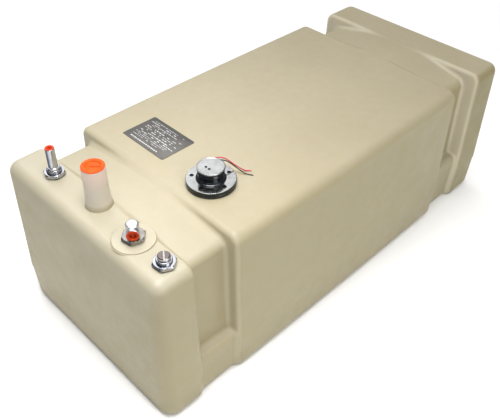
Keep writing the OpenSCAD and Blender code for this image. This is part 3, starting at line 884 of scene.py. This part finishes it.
def hex_fitting(name, at, seat_z, hex_h, across_flats, turn, bore_r):
    """Hexagon with rounded corner chamfers and a washer face, on a threaded stub with a bore.

    turn is in degrees.
    """
    stub_low = DECK - 10
    corner_r = across_flats / 2 + 2.9
    washer_r = across_flats / 2 - 0.2
    hexagon_part = lathe(name, [
        (bore_r, seat_z - 1, 0), (washer_r, seat_z, 0), (washer_r, seat_z + 0.5, 0),
        (washer_r + 0.6, seat_z + 0.5, 0), (corner_r, seat_z + 2.0, 0.8),
        (corner_r, seat_z + hex_h - 2.2, 0.8), (washer_r + 0.3, seat_z + hex_h, 0.5),
        (bore_r, seat_z + hex_h, 0),
    ], over(at), 192, hexagon(across_flats, corner_r, math.radians(turn)), 24)
    stub = lathe("stub", [
        (bore_r, stub_low, 0), *threaded_stub(stub_low, seat_z, THREAD_R), (bore_r, seat_z + 1, 0)
    ], over(at))
    return combine(hexagon_part, [stub], "UNION", 24)


def make_vent(bright, red):
    """Hex base, hose tube with its collars, and the shipping cap."""
    seat = node_box("vent_seal")[1].z
    hex_top, mouth = (corner.z for corner in node_box("vent_tube"))
    bore_r = 6.4
    base = hex_fitting("vent_hex_base", VENT, seat, hex_top - seat, across_flats=33, turn=14, bore_r=bore_r)
    dress(base, bright, "tank", "nickel", "vent_hex_base")
    tube = lathe("vent_tube", [
        (bore_r, hex_top, 0), (13.0, hex_top, 0.3), (13.0, hex_top + 3.4, 1.0), (11.0, hex_top + 5.4, 0.6),
        (9.6, hex_top + 5.4, 0.4), (9.6, hex_top + 6.2, 0.4), (10.5, hex_top + 6.2, 0.4),
        (10.5, hex_top + 9.3, 0.8), (8.0, hex_top + 9.5, 0.6), (8.0, mouth, 0.5), (bore_r, mouth, 0.4),
    ], over(VENT))
    dress(tube, bright, "tank", "nickel", "vent_tube")
    rim = node_box("vent_cap")[1].z
    cap = lathe("vent_cap", [
        (0, mouth - 4, 0), (3.6, mouth - 4, 0.6), (4.3, rim, 0.6), (7.5, rim, 0.5), (7.5, mouth, 0.2),
        (6.15, mouth, 0.1), (6.0, mouth - 5, 0), (6.2, mouth - 5.8, 0.3), (5.9, mouth - 6.6, 0),
        (5.7, mouth - 12, 0.5), (4.5, mouth - 12, 0.4), (4.5, mouth - 5.4, 1), (0, mouth - 5.4, 0),
    ], over(VENT), 80)
    dress(cap, red, "vent_cap_body", "orange", "vent_cap")


def port_matrix():
    """From the port's own axes, +Z out of its mouth at z = 0, to its place."""
    axis = Vector((math.cos(PORT_TURN), math.sin(PORT_TURN), 0))
    mouth = Vector((PICKUP.x, PICKUP.y, PORT_Z)) + PORT_REACH * axis
    tip = Matrix.Rotation(math.pi / 2, 4, "Y")
    return Matrix.Translation(mouth) @ Matrix.Rotation(PORT_TURN, 4, "Z") @ tip


def make_pickup(silver, steel, red):
    """Hex base, elbow with its side port, and the port's shipping plug."""
    pad = DECK + PAD_H
    foot, top = (corner.z for corner in node_box("pickup_elbow"))
    base = hex_fitting("pickup_hex_base", PICKUP, pad, foot - pad, across_flats=34.5, turn=44, bore_r=5.5)
    dress(base, steel, "tank", "steel", "pickup_hex_base")
    elbow = lathe("pickup_elbow", [
        (0, foot, 0), (10.3, foot, 0.2), (10.3, foot + 1.6, 0.5), (9.6, foot + 2.2, 0.5),
        (10.2, foot + 4.0, 1.0), (10.2, top - 1.2, 1.4), (8.0, top, 0.8), (0, top, 0),
    ], over(PICKUP))
    leg = lathe("leg", [
        (0, -PORT_REACH, 0), (10.0, -PORT_REACH, 0), (10.0, -6.5, 0.8), (10.8, -5.6, 0.6),
        (10.8, -0.9, 0.9), (9.9, 0, 0.4), (0, 0, 0),
    ])
    combine(elbow, [move(leg, port_matrix())], "UNION", 32)
    rise = cylinder("rise", PICKUP.x, PICKUP.y, foot - 1, PORT_Z + 2, 5.5)
    port = lathe("port", [
        (0, -PORT_REACH, 0), (4.6, -PORT_REACH, 0), (4.6, -10, 0), (9.0, -10, 0.5), (9.0, -0.8, 0.3),
        (9.8, 1, 0), (0, 1, 0),
    ])
    combine(elbow, [rise, move(port, port_matrix())], "DIFFERENCE", 32)
    dress(elbow, silver, "tank", "silver", "pickup_elbow")
    plug = lathe("pickup_port_plug", [
        (0, -4, 0), (5.6, -4, 0.8), (6.3, 1, 0.6), (9.8, 1, 0.6), (9.8, 0, 0.2), (8.75, 0, 0.1),
        (8.6, -4, 0), (8.75, -4.7, 0.3), (8.5, -5.4, 0), (8.4, -8.5, 0.6), (7.0, -8.5, 0.4),
        (7.0, -5.5, 0.8), (0, -5.5, 0),
    ])
    tab = rounded_box("tab", (-6.1, -0.9, -4.3), (6.1, 0.9, 0.1), 0.4)
    combine(plug, [tab], "UNION", 38)
    dress(move(plug, port_matrix()), red, "port_plug_body", "orange", "pickup_port_plug")


def make_spare(bright, knob):
    """Bushing with its boss, and the slotted plug in it."""
    seat = node_box("spare_seal")[1].z
    bore_r = 8.0
    foot, top = (corner.z for corner in node_box("spare_plug"))
    hex_top = seat + SPARE_HEX_H
    plug_foot = hex_top + SPARE_BOSS_H
    bushing = hex_fitting(
        "spare_bushing", SPARE, seat, SPARE_HEX_H, across_flats=33.5, turn=35, bore_r=bore_r
    )
    boss = lathe("boss", [
        (bore_r, hex_top - 1, 0), (12.8, hex_top - 1, 0), (12.8, hex_top + 2.2, 0.8),
        (11.8, hex_top + 2.9, 0.4), (12.4, hex_top + 3.6, 0.5), (11.8, plug_foot, 0.8),
        (bore_r, plug_foot, 0),
    ], over(SPARE))
    combine(bushing, [boss], "UNION", 24)
    dress(bushing, bright, "tank", "steel", "spare_bushing")
    plug = lathe("spare_plug", [
        (0, foot, 0), (7.9, foot, 0.6), (7.9, plug_foot, 0), (9.2, plug_foot, 0.3),
        (10.0, plug_foot + 1.2, 0.5), (10.0, top - 1.5, 0.8), (8.6, top, 0.5), (0, top - 0.4, 0),
    ], over(SPARE))
    slot = rounded_box(
        "slot", (-12, -1.3, top - 2.6), (12, 1.3, top + 2), 0.25, math.radians(54), over(SPARE)
    )
    combine(plug, [slot], "DIFFERENCE", 30)
    dress(plug, knob, "tank", "steel", "spare_plug")


# ---- Level sender ----
SCREW_CIRCLE_R = 33.0
SCREW_ANGLES = [math.radians(54 + 72 * k) for k in range(5)]
SCREW_PLACES = [
    (SENDER.x + SCREW_CIRCLE_R * math.cos(a), SENDER.y + SCREW_CIRCLE_R * math.sin(a))
    for a in SCREW_ANGLES
]
SCREW_HOLE_R = 2.45
HEAD_R = 3.3
SEAT_R = HEAD_R + 0.4
CAP_SCREW_HOLE_R = 1.55
CAP_SCREW_PLACES = [(SENDER.x - 7, SENDER.y + y) for y in (-4, 4)]


def sender_lathe(name, profile, segments=128):
    return lathe(name, profile, over(SENDER), segments, smooth_angle=32)


def drill(obj, places, *holes):
    """Cuts cylinders of (low, high, radius, segments) at each of the places."""
    cutters = [cylinder("hole", x, y, *hole) for hole in holes for x, y in places]
    combine(obj, cutters, "DIFFERENCE", 32)


def make_sender(black, plate_metal, screw_metal, gasket_rubber):
    """Gasket, moulded flange with its bright face plate, hub, cap and all the screws."""
    gasket_low, gasket_top = (corner.z for corner in node_box("sender_gasket"))
    plate_low, plate_top = (corner.z for corner in node_box("sender_face_plate"))
    cap_low, cap_top = (corner.z for corner in node_box("sender_cap"))
    gasket = sender_lathe("sender_gasket", [
        (SENDER_HOLE_R, gasket_low, 0.3), (42.4, gasket_low, 0.4), (42.0, gasket_low + 1.5, 0.6),
        (42.4, gasket_top, 0.4), (SENDER_HOLE_R, gasket_top, 0.3),
    ])
    drill(gasket, SCREW_PLACES, (gasket_low - 1, gasket_top + 1, SCREW_HOLE_R, 24))
    dress(gasket, gasket_rubber, "tank", "rubber", "sender_gasket")

    flange = sender_lathe("sender_flange", [
        (6.05, gasket_top, 0), (42.6, gasket_top, 0.6), (43.0, gasket_top + 2.2, 0.8),
        (42.3, gasket_top + 3.0, 0.5), (43.0, gasket_top + 3.8, 0.8), (43.0, plate_low, 0.5),
        (6.05, plate_low, 0),
    ])
    seat = plate_top - 3
    shank_hole = (gasket_top - 1, plate_top + 1, SCREW_HOLE_R, 24)
    drill(flange, SCREW_PLACES, shank_hole, (seat, plate_top + 2, SEAT_R, 40))
    dress(flange, black, "tank", "black", "sender_flange")

    plate = sender_lathe("sender_face_plate", [
        (7.0, plate_low, 0), (42.4, plate_low, 0.1), (42.4, plate_top, 0.5), (7.0, plate_top, 0),
    ], 160)
    drill(plate, SCREW_PLACES, (plate_low - 1, plate_top + 1, SEAT_R, 40))
    dress(plate, plate_metal, "tank", "capmetal", "sender_face_plate")

    hub = sender_lathe("sender_hub", [
        (18.0, plate_top, 0), (26.0, plate_top, 0.3), (25.6, plate_top + 1.6, 0.8),
        (23.6, plate_top + 2.6, 1.0), (23.4, plate_top + 4.4, 0.8), (22.3, plate_top + 5.2, 0.7),
        (22.3, cap_low - 9.4, 0.7), (22.8, cap_low - 8.6, 0.5), (22.8, cap_low - 6.6, 0.8),
        (21.0, cap_low - 4.6, 1.2), (21.0, cap_low - 1.2, 0.6), (22.6, cap_low, 0.5), (0, cap_low, 0),
        (0, cap_low - 3, 0), (18.0, cap_low - 3, 0),
    ])
    dress(hub, black, "tank", "black", "sender_hub")

    cap = sender_lathe("sender_cap", [
        (0, cap_low, 0), (24.2, cap_low, 0.3), (24.5, cap_top - 0.9, 0.3), (24.0, cap_top - 0.2, 0.7),
        (22.6, cap_top, 0.8), (22.0, cap_top - 0.35, 0.4), (0, cap_top - 0.35, 0),
    ], 160)
    drill(cap, CAP_SCREW_PLACES, (cap_low - 1, cap_top + 1, CAP_SCREW_HOLE_R, 24))
    dress(cap, plate_metal, "tank", "capmetal", "sender_cap")
    make_screws(
        "sender_cap_screws", CAP_SCREW_PLACES, screw_metal,
        foot=cap_low, shank_r=1.5, seat=cap_top - 0.35, top=cap_top + 0.8, head_r=2.2,
    )
    make_screws(
        "sender_screws", SCREW_PLACES, screw_metal,
        foot=node_box("sender_screws")[0].z, shank_r=2.4, seat=seat, top=plate_top - 0.6, head_r=HEAD_R,
    )


def make_screws(name, places, material, foot, shank_r, seat, top, head_r):
    """Pan heads with cross recesses, joined into one piece."""
    joined = None
    for x, y in places:
        screw = lathe(name, [
            (0, foot, 0), (shank_r, foot, 0.3), (shank_r, seat, 0), (head_r, seat, 0.2),
            (head_r, seat + 0.45 * (top - seat), 0.3), (0.55 * head_r, top, 0.4), (0, top, 0),
        ], (x, y, 0), 40)
        arm = 0.55 * head_r
        slot_low, slot_high = (-arm, -0.13 * arm, top - 0.8 * arm), (arm, 0.13 * arm, top + 1)
        cross = [
            rounded_box("cross", slot_low, slot_high, 0.04, math.radians(turn), (x, y, 0))
            for turn in (25, 115)
        ]
        combine(screw, cross, "DIFFERENCE", 32)
        joined = screw if joined is None else combine(joined, [screw], "UNION", 32)
    dress(joined, material, "tank", "darksteel", name)


# ---- Data plate ----
def make_data_plate(material, mark_material):
    """Etched plate with generic bars and dashes in rows; nothing on it can be read."""
    size = PLATE_HIGH - PLATE_LOW
    centre = (PLATE_LOW + PLATE_HIGH) / 2
    plate = mesh_object("data_plate", *plate_outline(size.x / 2, size.y / 2, 3.0, 0, size.z))
    bevel = plate.modifiers.new("bevel", "BEVEL")
    bevel.width = 0.25 * MM
    bevel.segments = 2
    bake_modifiers(plate)
    shade(plate, 40)
    move(plate, Matrix.Translation((centre.x, centre.y, PLATE_LOW.z)))
    dress(plate, material, "tank", "plate", "data_plate")

    rng = random.Random(11)
    points, faces = [], []

    def mark(x, y, length, height):
        """A raised bar that runs along the plate's long side."""
        low = (centre.x + x - height / 2, centre.y + y - length / 2, PLATE_HIGH.z - 0.02)
        high = (centre.x + x + height / 2, centre.y + y + length / 2, PLATE_HIGH.z + 0.05)
        corners, sides = box_faces(low, high)
        faces.extend(tuple(len(points) + i for i in side) for side in sides)
        points.extend(corners)

    row = -size.x / 2 + 8
    while row < size.x / 2 - 7:
        heading = row < -size.x / 2 + 12
        height = 3.2 if heading else rng.choice((1.0, 1.3, 1.7))
        y = size.y / 2 - 9 - rng.uniform(0, 14)
        end = -size.y / 2 + 8 + rng.uniform(0, 30)
        while y > end:
            length = rng.uniform(2.2, 3.4) if heading else rng.uniform(2.0, 7.5)
            if heading or rng.random() < 0.72:
                mark(row, y - length / 2, length, height * rng.uniform(0.8, 1.0))
            y -= length + rng.uniform(1.4, 2.4)
        row += height + (5.0 if heading else rng.uniform(2.6, 4.2))
    marks = mesh_object("data_plate_marks", points, faces, 30)
    dress(marks, mark_material, "tank", "plate")


def plate_outline(half_x, half_y, radius, z_low, z_high, steps=6):
    """Rectangle with round corners, extruded: (points, faces)."""
    outline = []
    for quarter, (sx, sy) in enumerate(((1, 1), (-1, 1), (-1, -1), (1, -1))):
        for k in range(steps + 1):
            angle = math.pi / 2 * (quarter + k / steps)
            outline.append((
                sx * (half_x - radius) + radius * math.cos(angle),
                sy * (half_y - radius) + radius * math.sin(angle),
            ))
    count = len(outline)
    points = [(x, y, z) for z in (z_low, z_high) for x, y in outline]
    faces = [(k, (k + 1) % count, count + (k + 1) % count, count + k) for k in range(count)]
    faces += [tuple(range(count))[::-1], tuple(range(count, 2 * count))]
    return points, faces


# ---- Pieces that keep their CAD shape ----
def finish_node(material, *names):
    """Puts a material on CAD nodes that stay as they are."""
    for name in names:
        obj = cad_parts[name]
        if obj.material_slots:
            for slot in obj.material_slots:
                slot.link = "OBJECT"
                slot.material = material
        else:
            obj.data.materials.append(material)


def main():
    """Makes every piece, in the order in which the scene lists them."""
    make_camera()
    red = wire_skin("red_insulation", (0.46, 0.012, 0.060), (0.60, 0.030, 0.105))
    black_skin = wire_skin("black_insulation", (0.008, 0.012, 0.011), (0.02, 0.026, 0.024))
    copper = metal("copper", (0.60, 0.26, 0.13), (0.80, 0.42, 0.25), 0.3)
    make_wire("red_wire", RED_ROUTE, red, copper, "red")
    make_wire("black_wire", BLACK_ROUTE, black_skin, copper, "blackwire")

    make_tank(polyethylene())

    orange = soft_plastic("orange_plug", (0.58, 0.060, 0.003), (0.66, 0.088, 0.005))
    red_plug = soft_plastic("red_plug", (0.48, 0.040, 0.008), (0.58, 0.062, 0.014))
    bright = metal("bright_nickel", (0.36, 0.37, 0.42), (0.54, 0.55, 0.58), 0.12, 0.15, painted_dark_reflection=0.9)
    silver = metal("silver_casting", (0.46, 0.48, 0.52), (0.62, 0.64, 0.67), 0.3, 0.25, (1, 1, 1), 300)
    steel = metal("turned_steel", (0.24, 0.23, 0.215), (0.38, 0.365, 0.34), 0.2, 0.3, wear=0.5, painted_dark_reflection=0.7)
    knob = metal(
        "aged_knob", (0.40, 0.39, 0.40), (0.60, 0.58, 0.58), 0.2, 0.3, wear=0.3,
        worn_face=(node_box("spare_plug")[1].z, (0.15, 0.12, 0.105)),
    )
    make_fill_plug(orange)
    make_vent(bright, red_plug)
    make_pickup(silver, steel, red_plug)
    make_spare(bright, knob)

    black = hard_plastic("black_moulding", (0.001, 0.003, 0.005), (0.003, 0.007, 0.012), 0.10, 0.1)
    face = metal("bright_face", (0.30, 0.305, 0.305), (0.40, 0.405, 0.405), 0.16, 0.12, (1, 1, 1), 350)
    dark_screw = metal("blackened_screw", (0.015, 0.015, 0.018), (0.05, 0.05, 0.055), 0.35, 0.3)
    gasket_rubber = rubber("gasket_rubber")
    make_sender(black, face, dark_screw, gasket_rubber)
    mark_metal = metal("mark_metal", (0.55, 0.55, 0.55), (0.75, 0.75, 0.75), 0.4)
    make_data_plate(etched_plate(), mark_metal)

    brass = metal("insert_brass", (0.50, 0.33, 0.12), (0.68, 0.48, 0.20), 0.3, 0.3)
    tube_metal = metal("drawn_tube", (0.55, 0.56, 0.57), (0.72, 0.73, 0.74), 0.25, 0.3, (6, 6, 1))
    foam = soft_plastic("float_foam", (0.02, 0.02, 0.022), (0.045, 0.045, 0.05), 0.6)
    finish_node(brass, "vent_insert", "pickup_insert", "spare_insert", "sender_backing_ring")
    finish_node(gasket_rubber, "vent_seal", "spare_seal")
    finish_node(tube_metal, "pickup_dip_tube", "sender_stem", "float_clips")
    finish_node(strainer_mesh(), "pickup_strainer")
    finish_node(foam, "sender_float")
    make_stage()


main()
